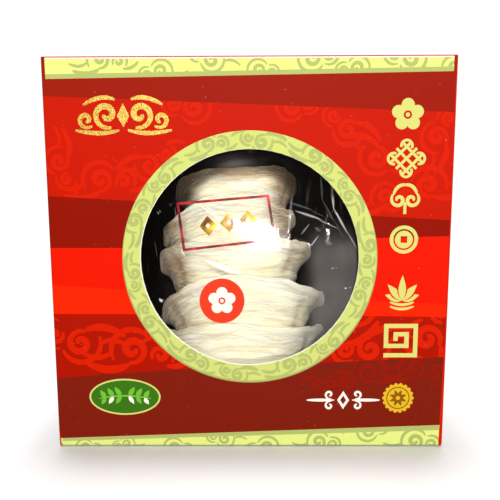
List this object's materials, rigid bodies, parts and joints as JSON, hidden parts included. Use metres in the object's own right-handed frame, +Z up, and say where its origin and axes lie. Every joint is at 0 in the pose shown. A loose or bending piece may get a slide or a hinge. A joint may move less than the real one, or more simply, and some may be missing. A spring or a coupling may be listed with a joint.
{
  "type": "boxed edible bird's nests",
  "caption": "Folded board gift carton with a round clear window and a tuck lid, showing a stack of half-cup edible bird's nests in a film pouch.",
  "frame": {"origin": "centre of the carton's base, on the surface that it stands on", "axes": "+Z up, -Y out through the window in the front panel, +X to the right as seen from the front"},
  "size_m": [0.18, 0.064, 0.178],
  "materials": {
    "printed_board": "satin",
    "clear_film": "gloss",
    "black_card": "matte",
    "pouch_film": "gloss",
    "label_foil": "gloss",
    "sticker_paper": "satin",
    "nest_strand": "matte"
  },
  "bodies": {
    "carton": {"carton": "printed_board", "window_film": "clear_film", "tray": "black_card", "pouch": "pouch_film", "grade_label": "label_foil", "round_sticker": "sticker_paper", "nest_1": "nest_strand", "nest_2": "nest_strand", "nest_3": "nest_strand", "nest_4": "nest_strand", "nest_5": "nest_strand"},
    "lid": {"lid": "printed_board"}
  },
  "joints": [
    {"name": "lid_crease", "type": "hinge", "parent": "carton", "child": "lid", "pos_m": [0, 0.032, 0.17725], "axis": [-1, 0, 0], "range_deg": [0, 110]}
  ]
}
